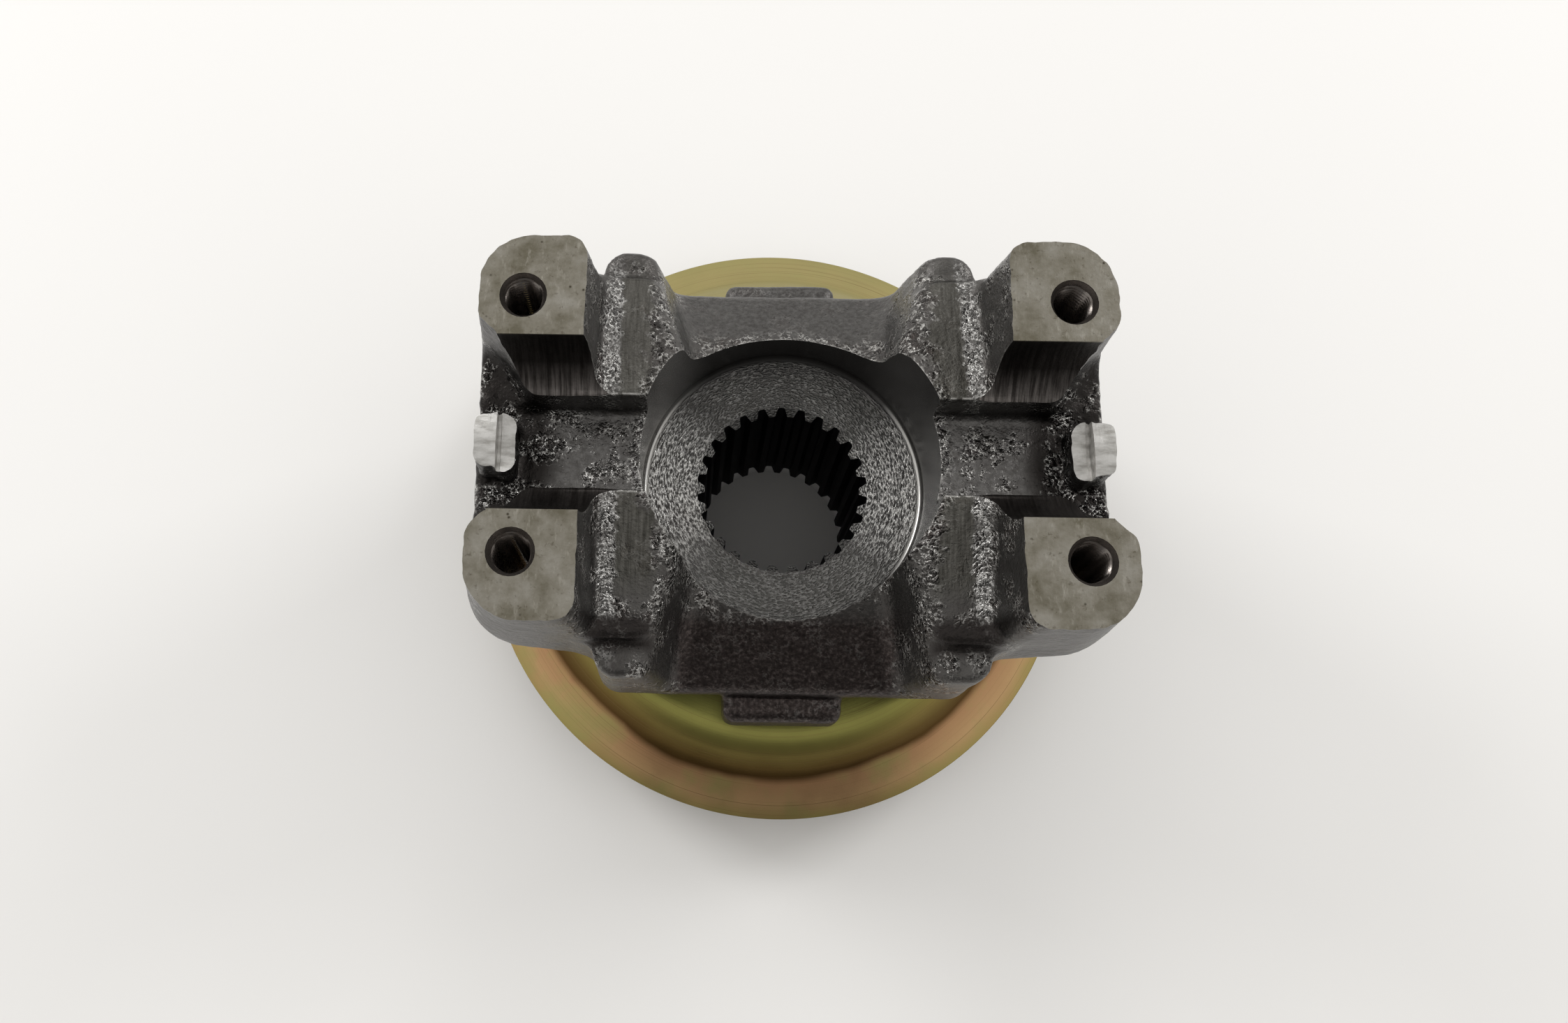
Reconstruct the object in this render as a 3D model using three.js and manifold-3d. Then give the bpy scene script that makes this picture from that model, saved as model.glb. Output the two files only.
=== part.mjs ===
// Pinion yoke with its dust shield.
//
// A forged steel yoke for a strap-type universal joint, with a splined hub that slides on a pinion
// shaft, and a pressed steel shield pushed on the hub. Millimetres, +Z up. The origin is on the bore's
// axis at the hub's lower end, and X runs along the bearing caps that the saddles hold.

import * as THREE from "three";
import Module from "manifold-3d";
import { mergeVertices } from "three/addons/utils/BufferGeometryUtils.js";

const wasm = await Module();
wasm.setup();

// ---- driving dimensions --------------------------------------------------------------------------
// Heights named _Z are measured from the strap pads, which are HEIGHT above the hub's lower end.
const HEIGHT = 78;
const GAP = 0.3;                // clearance kept between touching pieces

// bearing cap seats, 1330 series: cap diameter and the distance between the retaining shoulders
const CAP_DIAMETER = 27.0;
const SHOULDER_SPAN = 92.1;

// strap pads and their tapped holes (1/4-28 thread, drilled at its minor diameter)
const PAD_INNER_X = 32.2;
const PAD_OUTER_X = 48.4;
const PAD_OUTER_Y = 29.6;
const PAD_CORNER_RADIUS = 9;
const ARM_FLARE = 1.8;          // how far the arms' ends lean out, from the pads down to their feet
const HOLE_X = 41.7;
const HOLE_Y = 19.8;
const HOLE_DIAMETER = 5.5;

// ribs beside the ears, each with a foot, webs across the front and back, and a lug on each web
const RIB_TOP_Z = -11;
const RIB_FOOT_Z = -18;
const RIB_OUTER_Y = 34.8;
const WEB_TOP_Z = -30;
const WEB_EDGE_Z = -37;
const WEB_OUTER_Y = 35;
const WEB_HALF_WIDTH = 28;
const LUG_HALF_WIDTH = 10.2;
const LUG_OUTER_Y = 39;
const LUG_TOP_Z = -41.5;
const LUG_FOOT_Z = -50;
const BODY_FOOT_Z = -52;

// channel along the caps, its hollowed ends, and the retaining tab in each end
const CHANNEL_HALF_WIDTH = 7.4;
const CHANNEL_FLOOR_Z = -19.3;
const END_HOLLOW_RADIUS = 19.96;
const END_HOLLOW_X = 60;
const TAB_HALF_WIDTH = 4.6;
const TAB_INNER_X = 42.6;
const TAB_OUTER_X = 49.6;
const TAB_TOP_Z = -10.5;

// splined bore, nut seat and turned hub
const SPLINE_TEETH = 26;
const SPLINE_MAJOR_RADIUS = 14.6;
const SPLINE_MINOR_RADIUS = 13.3;
const SEAT_RADIUS = 24;
const SEAT_HEIGHT = 39;
const JOURNAL_RADIUS = 22.2;
const JOURNAL_LENGTH = 14;
const COLLAR_SEAT_RADIUS = 26;
const BARREL_RADIUS = 28;
const EDGE_CHAMFER = 1;

// dust shield: heights measured from the hub's lower end
const SHEET = 1.2;
const SHIELD_RADIUS = 53.7;
const SHIELD_RIM_HEIGHT = 14;
const SHIELD_DISH_HEIGHT = 23.5;
const SHIELD_STEP_RADIUS = 43;
const SHIELD_FLANGE_RADIUS = 46.5;
const SHIELD_FLANGE_HEIGHT = 18.2;
const COLLAR_LENGTH = 6;

const ROUND_SEGMENTS = 96;
const CLEAR = 5;                // how far a cutter runs past what it cuts

// ---- helpers -------------------------------------------------------------------------------------
function solid(geometry) {
  const plain = geometry.clone();
  plain.deleteAttribute("normal");
  plain.deleteAttribute("uv");
  const merged = mergeVertices(plain, 1e-4);
  return new wasm.Manifold(new wasm.Mesh({
    numProp: 3,
    vertProperties: new Float32Array(merged.attributes.position.array),
    triVerts: new Uint32Array(merged.index.array),
  }));
}

function toGeometry(body) {
  const mesh = body.getMesh();
  const geometry = new THREE.BufferGeometry();
  geometry.setAttribute("position", new THREE.BufferAttribute(mesh.vertProperties, 3));
  geometry.setIndex(new THREE.BufferAttribute(mesh.triVerts, 1));
  geometry.computeVertexNormals();
  return geometry;
}

function join(bodies) {
  return bodies.reduce((whole, body) => whole.add(body));
}

// Calls make(1) and make(-1) and joins what they return.
function bothSides(make) {
  return make(1).add(make(-1));
}

function extrusion(shape, length) {
  return new THREE.ExtrudeGeometry(shape, { depth: length, bevelEnabled: false, curveSegments: 10 });
}

function outline(points) {
  return new THREE.Shape(points.map(([across, along]) => new THREE.Vector2(across, along)));
}

// A half outline joined to its reflection, so that it is the same on both sides of zero.
function mirrored(half) {
  return [...half, ...half.slice().reverse().map(([across, z]) => [-across, z])];
}

// A block between two corners.
function block(low, high) {
  const geometry = new THREE.BoxGeometry(...high.map((value, axis) => value - low[axis]));
  geometry.translate(...high.map((value, axis) => (value + low[axis]) / 2));
  return solid(geometry);
}

// A block that reaches from x = inner to x = outer on the side that sign names.
function sideBlock(sign, inner, outer, halfWidth, low, high) {
  const ends = [sign * inner, sign * outer].sort((a, b) => a - b);
  return block([ends[0], -halfWidth, low], [ends[1], halfWidth, high]);
}

// An outline of [x, z] points swept along Y, centred on y = 0.
function sweepY(points, length) {
  const geometry = extrusion(outline(points), length);
  geometry.rotateX(Math.PI / 2);
  geometry.translate(0, length / 2, 0);
  return solid(geometry);
}

// An outline of [y, z] points swept along X, centred on x = 0.
function sweepX(points, length) {
  const geometry = extrusion(outline(points), length);
  geometry.applyMatrix4(new THREE.Matrix4().makeBasis(
    new THREE.Vector3(0, 1, 0), new THREE.Vector3(0, 0, 1), new THREE.Vector3(1, 0, 0)));
  geometry.translate(-length / 2, 0, 0);
  return solid(geometry);
}

// A shape in the XY plane raised from one height to another.
function raise(shape, low, high) {
  const geometry = extrusion(shape, high - low);
  geometry.translate(0, 0, low);
  return solid(geometry);
}

// A round bar between two heights, on the vertical line through x, y.
function bar(radius, low, high, x = 0, y = 0, segments = ROUND_SEGMENTS) {
  const geometry = new THREE.CylinderGeometry(radius, radius, high - low, segments);
  geometry.rotateX(Math.PI / 2);
  geometry.translate(x, y, (low + high) / 2);
  return solid(geometry);
}

// A [radius, z] outline turned round the bore's axis. It starts and ends on the axis, or is closed.
function turned(points) {
  const profile = points.map(([radius, z]) => new THREE.Vector2(radius, z));
  if (profile[0].x > 0) profile.push(profile[0].clone());
  const geometry = new THREE.LatheGeometry(profile, ROUND_SEGMENTS);
  geometry.rotateX(Math.PI / 2);
  return solid(geometry);
}

// ---- yoke ----------------------------------------------------------------------------------------
// The ears' outline from above, with the generous outer corners of a forging.
function earPlan() {
  const plan = new THREE.Shape();
  const [x, y, radius] = [PAD_OUTER_X + ARM_FLARE, PAD_OUTER_Y, PAD_CORNER_RADIUS];
  plan.moveTo(-x + radius, -y);
  plan.lineTo(x - radius, -y);
  plan.quadraticCurveTo(x, -y, x, -y + radius);
  plan.lineTo(x, y - radius);
  plan.quadraticCurveTo(x, y, x - radius, y);
  plan.lineTo(-x + radius, y);
  plan.quadraticCurveTo(-x, y, -x, y - radius);
  plan.lineTo(-x, -y + radius);
  plan.quadraticCurveTo(-x, -y, -x + radius, -y);
  return plan;
}

function armsAndEars() {
  const front = sweepY(mirrored([
    [0, BODY_FOOT_Z], [26.5, BODY_FOOT_Z], [28.5, -40], [32.3, -34.5], [43.7, -27], [48, -24],
    [PAD_OUTER_X + ARM_FLARE, -20], [PAD_OUTER_X, 0], [PAD_INNER_X, 0],
    [PAD_INNER_X - 1.9, RIB_TOP_Z],
    [PAD_INNER_X - 3, WEB_EDGE_Z - 1], [0, WEB_EDGE_Z - 1],
  ]), 2 * PAD_OUTER_Y + CLEAR);
  const side = sweepX(mirrored([
    [0, BODY_FOOT_Z], [25, BODY_FOOT_Z], [28, -34], [PAD_OUTER_Y, -27], [PAD_OUTER_Y, 0], [0, 0],
  ]), 2 * PAD_OUTER_X + CLEAR);
  return front.intersect(side).intersect(raise(earPlan(), BODY_FOOT_Z, 0));
}

// One rib on each side, running front to back, with a foot at both ends. Its inner walls spread
// outwards from the nut seat.
function ribs() {
  const plan = (sign) => raise(outline([
    [15.6, 12], [17.2, 16.5], [21.2, 28.5], [21.6, RIB_OUTER_Y], [30.4, RIB_OUTER_Y], [33, 28],
    [33, -28], [30.4, -RIB_OUTER_Y], [21.6, -RIB_OUTER_Y], [21.2, -28.5], [17.2, -16.5], [15.6, -12],
  ].map(([x, y]) => [sign * x, y])), BODY_FOOT_Z, 0);
  const side = sweepX(mirrored([
    [0, BODY_FOOT_Z], [26, BODY_FOOT_Z], [RIB_OUTER_Y, -40], [RIB_OUTER_Y, RIB_FOOT_Z - 2],
    [RIB_OUTER_Y - 1.8, RIB_FOOT_Z], [30.5, RIB_FOOT_Z], [28.8, -15.4], [8, RIB_TOP_Z],
    [0, RIB_TOP_Z],
  ]), 2 * PAD_OUTER_X);
  return bothSides(plan).intersect(side);
}

function websAndLugs() {
  const web = sweepX(mirrored([
    [0, BODY_FOOT_Z], [26, BODY_FOOT_Z], [WEB_OUTER_Y - 1, -45], [WEB_OUTER_Y, WEB_EDGE_Z],
    [SEAT_RADIUS, WEB_TOP_Z], [0, WEB_TOP_Z],
  ]), 2 * WEB_HALF_WIDTH);
  return web.add(block([-LUG_HALF_WIDTH, -LUG_OUTER_Y, LUG_FOOT_Z],
    [LUG_HALF_WIDTH, LUG_OUTER_Y, LUG_TOP_Z]));
}

function channel() {
  const trough = block([-2 * PAD_OUTER_X, -CHANNEL_HALF_WIDTH, CHANNEL_FLOOR_Z],
    [2 * PAD_OUTER_X, CHANNEL_HALF_WIDTH, CLEAR]);
  return trough.add(bothSides((sign) => bar(END_HOLLOW_RADIUS, CHANNEL_FLOOR_Z, CLEAR,
    sign * END_HOLLOW_X)));
}

// The tabs' milled tops stand higher than the cap saddle, which ends at their shoulders.
function saddles() {
  const capRadius = CAP_DIAMETER / 2;
  const cap = new THREE.CylinderGeometry(capRadius, capRadius, SHOULDER_SPAN, ROUND_SEGMENTS);
  cap.rotateZ(Math.PI / 2);
  return solid(cap).add(block([-SHOULDER_SPAN / 2, -capRadius, 0],
    [SHOULDER_SPAN / 2, capRadius, CLEAR]));
}

function forging() {
  const tabs = bothSides((sign) => sideBlock(sign, TAB_INNER_X, TAB_OUTER_X, TAB_HALF_WIDTH,
    CHANNEL_FLOOR_Z - 3, TAB_TOP_Z));
  return join([armsAndEars(), ribs(), websAndLugs()]).subtract(channel()).add(tabs)
    .subtract(saddles()).translate([0, 0, HEIGHT]);
}

function hub() {
  const shoulder = HEIGHT + BODY_FOOT_Z;
  return turned([
    [0, 0], [JOURNAL_RADIUS - EDGE_CHAMFER, 0], [JOURNAL_RADIUS, EDGE_CHAMFER],
    [JOURNAL_RADIUS, JOURNAL_LENGTH], [COLLAR_SEAT_RADIUS, JOURNAL_LENGTH + 2],
    [COLLAR_SEAT_RADIUS, shoulder], [BARREL_RADIUS, shoulder + 2], [BARREL_RADIUS, SEAT_HEIGHT],
    [0, SEAT_HEIGHT],
  ]);
}

// Each tooth space is a trapezium: its two inner corners and two outer ones, in turns of the pitch.
function splineCutter() {
  const pitch = (2 * Math.PI) / SPLINE_TEETH;
  const corners = [[-0.33, SPLINE_MINOR_RADIUS], [-0.17, SPLINE_MAJOR_RADIUS],
    [0.17, SPLINE_MAJOR_RADIUS], [0.33, SPLINE_MINOR_RADIUS]];
  const points = [];
  for (let tooth = 0; tooth < SPLINE_TEETH; tooth += 1) {
    for (const [part, radius] of corners) {
      const angle = (tooth + part) * pitch;
      points.push([radius * Math.cos(angle), radius * Math.sin(angle)]);
    }
  }
  return raise(outline(points), -CLEAR, SEAT_HEIGHT + CLEAR);
}

// The chamfer that leads the shaft's teeth into the bore.
function leadChamfer() {
  const depth = 2;
  const geometry = new THREE.CylinderGeometry(SPLINE_MAJOR_RADIUS + 0.6, SPLINE_MINOR_RADIUS - 0.4,
    depth, ROUND_SEGMENTS);
  geometry.rotateX(Math.PI / 2);
  geometry.translate(0, 0, SEAT_HEIGHT - 0.3 * depth);
  return solid(geometry);
}

function strapHoles() {
  return bothSides((signX) => bothSides((signY) => bar(HOLE_DIAMETER / 2, HEIGHT / 3,
    HEIGHT + CLEAR, signX * HOLE_X, signY * HOLE_Y, 24)));
}

function yoke() {
  return forging().add(hub())
    .subtract(bar(SEAT_RADIUS, SEAT_HEIGHT, HEIGHT + CLEAR))
    .subtract(splineCutter())
    .subtract(leadChamfer())
    .subtract(strapHoles());
}

// ---- dust shield ---------------------------------------------------------------------------------
// One pressed sheet: a collar pushed on the hub, a flat dish, a step down and a sloping flange.
function dustShield() {
  const collar = COLLAR_SEAT_RADIUS + GAP;
  const [dish, flange, rim] = [SHIELD_DISH_HEIGHT, SHIELD_FLANGE_HEIGHT, SHIELD_RIM_HEIGHT];
  const upper = [
    [collar, dish], [SHIELD_STEP_RADIUS - 2, dish], [SHIELD_STEP_RADIUS, dish - 0.8],
    [SHIELD_FLANGE_RADIUS - 1, flange + 0.8], [SHIELD_FLANGE_RADIUS + 1, flange],
    [SHIELD_RADIUS, rim],
  ];
  const lower = [
    [SHIELD_RADIUS - SHEET, rim], [SHIELD_FLANGE_RADIUS, flange - SHEET],
    [SHIELD_FLANGE_RADIUS - 2, flange], [SHIELD_STEP_RADIUS - 1, dish - 2],
    [SHIELD_STEP_RADIUS - 3, dish - SHEET], [collar + SHEET, dish - SHEET],
    [collar + SHEET, dish - COLLAR_LENGTH], [collar, dish - COLLAR_LENGTH],
  ];
  return turned([...upper, ...lower].reverse());
}

// ---- assembly ------------------------------------------------------------------------------------
function piece(name, body, colour, roughness, metalness) {
  const material = new THREE.MeshStandardMaterial({ color: colour, roughness, metalness });
  const mesh = new THREE.Mesh(toGeometry(body), material);
  mesh.name = name;
  return mesh;
}

const assembly = new THREE.Group();
assembly.name = "pinion_yoke";
assembly.add(piece("yoke", yoke(), 0x4a4846, 0.55, 0.85));
assembly.add(piece("dust_shield", dustShield(), 0xa8904e, 0.35, 0.8));

export default assembly;
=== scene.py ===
"""Looks of a pinion yoke with its dust shield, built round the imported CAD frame.

The yoke starts as a rough forging, drawn as a field of distances and meshed. Cutters shaped like
the real tools then machine the pads, saddles, nut seat, spline and tapped holes. The shield is one
pressed sheet, turned from its profile. Lengths are in millimetres until a mesh is made.
"""

import math

import bpy
import numpy as np
import openvdb
from mathutils import Matrix, Vector, noise


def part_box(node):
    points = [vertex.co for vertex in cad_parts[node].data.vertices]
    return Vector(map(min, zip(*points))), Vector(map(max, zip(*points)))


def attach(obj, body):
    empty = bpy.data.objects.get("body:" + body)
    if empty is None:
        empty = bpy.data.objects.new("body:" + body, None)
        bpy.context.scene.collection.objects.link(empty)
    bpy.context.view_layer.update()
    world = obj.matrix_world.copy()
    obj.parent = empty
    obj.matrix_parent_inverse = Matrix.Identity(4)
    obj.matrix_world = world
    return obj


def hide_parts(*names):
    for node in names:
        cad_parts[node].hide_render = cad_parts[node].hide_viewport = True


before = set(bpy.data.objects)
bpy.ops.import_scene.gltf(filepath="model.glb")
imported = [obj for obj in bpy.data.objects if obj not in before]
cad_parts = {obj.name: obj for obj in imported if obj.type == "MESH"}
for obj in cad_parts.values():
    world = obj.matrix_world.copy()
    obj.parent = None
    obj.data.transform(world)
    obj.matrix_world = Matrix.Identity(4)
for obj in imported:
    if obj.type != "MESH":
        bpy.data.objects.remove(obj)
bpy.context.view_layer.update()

MM = 0.001
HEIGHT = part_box("yoke")[1][2] / MM         # hub's lower end to the strap pads

# ---- driving dimensions; heights in the forging are measured from the strap pads -----------------
CAP_RADIUS = 13.5                          # bearing caps of the joint's cross
SHOULDER_X = 46.05                         # shoulders that stop the caps
PAD_INNER_X = 32.2
PAD_OUTER_X = 48.4
PAD_OUTER_Y = 29.6
ARM_FLARE = 1.8                            # how far the arms' ends lean out in their first 20
HOLE_X = 41.7
HOLE_Y = 19.8
THREAD_MAJOR = 3.175                       # radii and pitch of the 1/4-28 strap screws
THREAD_MINOR = 2.75
THREAD_PITCH = 25.4 / 28
COUNTERSINK = 3.65
CHANNEL_HALF_WIDTH = 7.4
CHANNEL_FLOOR = -19.3
HOLLOW_X = 60.0                            # axis, radius and floor of the hollow in each arm's end
HOLLOW_RADIUS = 19.96
HOLLOW_FLOOR = -19.0
TAB_TOP = -10.5
TAB_HALF_WIDTH = 4.8
ARM_UNDERSIDE = (43.7, -27.5)              # (x, z) of a point on the arms' sloping underside
RIB_TOP = -11.0                            # height of the ribs' top at RIB_TOP_Y
RIB_TOP_Y = 8.0
RIB_FLAT_X = 27.2                          # outer edge of the smooth strip on each rib
RIB_WALL = (17.2, 16.5, -15.0)             # (x, y, z) of a point on the ribs' inner wall
RIB_BLOCK_X = 33.0                         # outer side of the block straight under the ribs
WEB_TOP = (24.0, -30.0)                    # (y, z) of a point on the webs' slope
BLOCK_X = 30.6                             # block under the ribs, feet and webs
BLOCK_Y = 35.0
BLOCK_EDGE = -43.5                         # height where its front and back turn under
FOOT_TOP = -18.0                           # top of the feet, which the ribs end above
BASE_X = 28.5                              # tapered base under the block, at BASE_Z
BASE_Y = 29.5
BASE_Z = -35.0
LUG_HALF_WIDTH = 9.9                       # lug at the foot of each web
LUG_OUTER_Y = 39.0
LUG_FOOT = -50.0
LUG_TOP = -41.5
SEAT_RADIUS = 24.0
SEAT_Z = -39.0
SPLINE_TEETH = 26
SPLINE_MAJOR = 14.6
SPLINE_MINOR = 13.3
BODY_FOOT = -52.0
GRID = 0.6                                 # spacing of the field that the forging is meshed from

# ---- driving dimensions of the hub and shield; heights are measured from the hub's lower end ------
HUB_RADIUS = 22.2
HUB_STEP = 14.0
HUB_SHOULDER_RADIUS = 26.0                 # the shield's collar stands round it
SHEET = 1.2                                # thickness of the shield
COLLAR_RADIUS = 26.3                       # bore of its collar
COLLAR_FOOT = 17.5
DISH_RADIUS = 41.6                         # outer edge of its flat dish
DISH_HEIGHT = 23.5
STEP_RADIUS = 46.4                         # where the step down ends and the flange begins
STEP_HEIGHT = 18.3
SHIELD_RADIUS = 53.7
RIM_HEIGHT = 14.0

FORGED, MILLED, TURNED, BORED = range(4)   # the yoke's materials, in the order of its slots


# ---- distance fields -----------------------------------------------------------------------------
def round_max(a, b, radius):
    """Keeps what is inside both fields, with the edge between them rounded."""
    corner = np.hypot(np.maximum(radius + a, 0), np.maximum(radius + b, 0))
    return np.minimum(-radius, np.maximum(a, b)) + corner


def round_min(a, b, radius):
    """Joins two fields, with a fillet between them."""
    return -round_max(-a, -b, radius)


def rounded_box(x, y, z, low, high, radius):
    """Distance to a box between two corners, with all its edges rounded."""
    centre = [(a + b) / 2 for a, b in zip(low, high)]
    half = [(b - a) / 2 - radius for a, b in zip(low, high)]
    away = [np.abs(p - c) - h for p, c, h in zip((x, y, z), centre, half)]
    outside = np.sqrt(sum(np.maximum(a, 0) ** 2 for a in away))
    inside = np.minimum(np.maximum(np.maximum(away[0], away[1]), away[2]), 0)
    return outside + inside - radius


def forging_field(x, y, z):
    """Distance to the forging's skin in the quarter where x and y are positive.

    Each sloping face is a plane through a named point, with its slopes written out. The last
    number of each round_max and round_min is the radius of that edge or fillet.
    """
    # ear and arm: pads on top, ends that lean out, sloping underside
    lean = ARM_FLARE / 20 * np.clip(-z, 0, 20)
    outline = round_max(x - PAD_OUTER_X - lean, y - PAD_OUTER_Y, 8.0)
    inner_wall = (PAD_INNER_X + 0.14 * z - x) / 1.01
    underside = 0.549 * (x - ARM_UNDERSIDE[0]) - 0.836 * (z - ARM_UNDERSIDE[1])
    arm = round_max(round_max(outline, inner_wall, 3.2), underside, 3.0)
    # relief between the arms: rib tops that end above the feet, their inner walls, sloping web
    rough_strip = 0.12 * np.maximum(x - RIB_FLAT_X, 0)
    rib_top = (z - RIB_TOP + 0.21 * (y - RIB_TOP_Y) - rough_strip) / 1.02
    foot_top = round_min(y - PAD_OUTER_Y, z - FOOT_TOP, 1.6)
    wall_x, wall_y, wall_z = RIB_WALL
    rib_wall = (0.316 * (y - wall_y) - 0.949 * (x - wall_x) + 0.2 * (z - wall_z)) / 1.02
    web_top = (z - WEB_TOP[1] + 0.636 * (y - WEB_TOP[0])) / 1.185
    rib = round_max(round_max(rib_top, foot_top, 1.0), rib_wall, 3.0)
    relief = round_min(rib, web_top, 2.8)
    # what stands under that relief
    rib_block = round_max(round_max(x - RIB_BLOCK_X, y - PAD_OUTER_Y, 1.5), underside, 3.0)
    block_under = 0.8 * (y - BLOCK_Y) - 0.6 * (z - BLOCK_EDGE)
    low_block = round_max(round_max(x - BLOCK_X, y - BLOCK_Y, 4.0), block_under, 2.5)
    taper = 0.12 * (z - BASE_Z)
    base = round_max(x - BASE_X - taper, y - BASE_Y - taper, 10.0)
    block = round_min(round_min(rib_block, base, 5.0), low_block, 2.0)
    body = round_max(round_max(relief, block, 1.4), BODY_FOOT - z, 3.0)
    forging = round_min(arm, body, 2.0)
    lug_low, lug_high = (-LUG_HALF_WIDTH, 20, LUG_FOOT), (LUG_HALF_WIDTH, LUG_OUTER_Y, LUG_TOP)
    lug = rounded_box(x, y, z, lug_low, lug_high, 1.9)
    forging = round_min(forging, lug, 1.2)
    # channel along the caps, hollowed ends, and the retaining tab left standing in each end
    channel = round_max(y - CHANNEL_HALF_WIDTH, CHANNEL_FLOOR - z, 1.5)
    hollow = round_max(np.hypot(x - HOLLOW_X, y) - HOLLOW_RADIUS, HOLLOW_FLOOR - z, 4.0)
    forging = round_max(forging, -round_min(channel, hollow, 1.5), 0.8)
    wide, narrow = TAB_HALF_WIDTH, TAB_HALF_WIDTH - 0.6
    tab_root = rounded_box(x, y, z, (43.3, -wide, -26), (47.0, wide, -9.0), 2.0)
    tab_end = rounded_box(x, y, z, (44.5, -narrow, -26), (49.4, narrow, -9.0), 1.5)
    return round_min(forging, np.minimum(tab_root, tab_end), 1.0)


# ---- materials -----------------------------------------------------------------------------------
class Surface:
    """One procedural material: a Principled shader and short calls that feed it."""

    def __init__(self, name, colour, metallic, roughness):
        self.material = bpy.data.materials.new(name)
        self.material.use_nodes = True
        self.tree = self.material.node_tree
        self.shader = self.tree.nodes["Principled BSDF"]
        self.shader.inputs["Base Color"].default_value = (*colour, 1)
        self.shader.inputs["Metallic"].default_value = metallic
        self.shader.inputs["Roughness"].default_value = roughness
        self.places = self.add("ShaderNodeTexCoord").outputs["Object"]
        self.height = None

    def add(self, kind, **settings):
        node = self.tree.nodes.new(kind)
        for name, value in settings.items():
            setattr(node, name, value)
        return node

    def feed(self, socket, value):
        if isinstance(value, bpy.types.NodeSocket):
            self.tree.links.new(value, socket)
        else:
            socket.default_value = value

    def math(self, operation, *values):
        node = self.add("ShaderNodeMath", operation=operation)
        for socket, value in zip(node.inputs, values):
            self.feed(socket, value)
        return node.outputs[0]

    def fold(self, operation, values):
        """One operation between each value and the next."""
        result = values[0]
        for value in values[1:]:
            result = self.math(operation, result, value)
        return result

    def both(self, *masks):
        """Product of masks or numbers: 1 where all of them are 1."""
        return self.fold("MULTIPLY", masks)

    def either(self, *masks):
        """1 where any of the masks is 1."""
        return self.fold("MAXIMUM", masks)

    def outside(self, mask):
        """1 where the mask is 0."""
        return self.spread(mask, 0, 1, 1, 0)

    def hypot(self, one, two):
        squares = self.math("ADD", self.both(one, one), self.both(two, two))
        return self.math("SQRT", squares)

    def noise(self, size, detail=3.0, roughness=0.55, stretch=(1, 1, 1), where=None):
        """Noise whose features are about size millimetres across."""
        scaled = self.add("ShaderNodeVectorMath", operation="MULTIPLY")
        self.feed(scaled.inputs[0], where or self.places)
        scaled.inputs[1].default_value = [1 / (MM * size * part) for part in stretch]
        node = self.add("ShaderNodeTexNoise")
        self.feed(node.inputs["Vector"], scaled.outputs[0])
        node.inputs["Scale"].default_value = 1.0
        node.inputs["Detail"].default_value = detail
        node.inputs["Roughness"].default_value = roughness
        return node.outputs["Fac"]

    def pits(self, size, low, high):
        """1 in small round pits, spread about size millimetres apart, and 0 between them."""
        node = self.add("ShaderNodeTexVoronoi")
        self.feed(node.inputs["Vector"], self.places)
        node.inputs["Scale"].default_value = 1 / (MM * size)
        return self.spread(node.outputs["Distance"], low, high, 1.0, 0.0)

    def spread(self, value, low, high, to_low=0.0, to_high=1.0):
        """Maps low..high to to_low..to_high, and holds the ends beyond."""
        node = self.add("ShaderNodeMapRange")
        for socket, number in zip(list(node.inputs)[:5], (value, low, high, to_low, to_high)):
            self.feed(socket, number)
        return node.outputs[0]

    def zone(self, length, low, high, to_low=0.0, to_high=1.0):
        """The same for a length in metres, with low and high in millimetres."""
        return self.spread(length, low * MM, high * MM, to_low, to_high)

    def wander(self, length, size, detail, reach):
        """The length, shifted by up to reach millimetres, so that a zone of it has a ragged edge."""
        shift = self.spread(self.noise(size, detail), 0.3, 0.7, -reach * MM, reach * MM)
        return self.math("ADD", length, shift)

    def colours(self, value, stops):
        """A ramp of (position, colour) stops."""
        node = self.add("ShaderNodeValToRGB")
        elements = node.color_ramp.elements
        while len(elements) < len(stops):
            elements.new(0.5)
        for element, (position, colour) in zip(elements, stops):
            element.position = position
            element.color = (*colour, 1)
        self.feed(node.inputs[0], value)
        return node.outputs[0]

    def mix(self, amount, one, two):
        """The first colour where amount is 0, and the second where it is 1."""
        node = self.add("ShaderNodeMix", data_type="RGBA")
        self.feed(node.inputs[0], amount)
        for socket, colour in ((node.inputs[6], one), (node.inputs[7], two)):
            self.feed(socket, colour if isinstance(colour, bpy.types.NodeSocket) else (*colour, 1))
        return node.outputs[2]

    def bump(self, height, depth):
        """Adds relief of about depth millimetres on top of what is there."""
        node = self.add("ShaderNodeBump")
        node.inputs["Strength"].default_value = 1.0
        node.inputs["Distance"].default_value = depth * MM
        self.feed(node.inputs["Height"], height)
        if self.height:
            self.feed(node.inputs["Normal"], self.height)
        self.height = node.outputs[0]
        self.feed(self.shader.inputs["Normal"], self.height)

    def axes(self):
        parts = self.add("ShaderNodeSeparateXYZ")
        self.feed(parts.inputs[0], self.places)
        return parts.outputs

    def radius(self):
        """Distance from the bore's axis, in metres."""
        x, y, _ = self.axes()
        return self.hypot(x, y)

    def rounds(self):
        """Places as (radius, turn, height), to draw the marks of a lathe in."""
        x, y, z = self.axes()
        turn = self.math("MULTIPLY", self.math("ARCTAN2", y, x), 20 * MM)
        joined = self.add("ShaderNodeCombineXYZ")
        for socket, value in zip(joined.inputs, (self.hypot(x, y), turn, z)):
            self.feed(socket, value)
        return joined.outputs[0]


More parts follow.
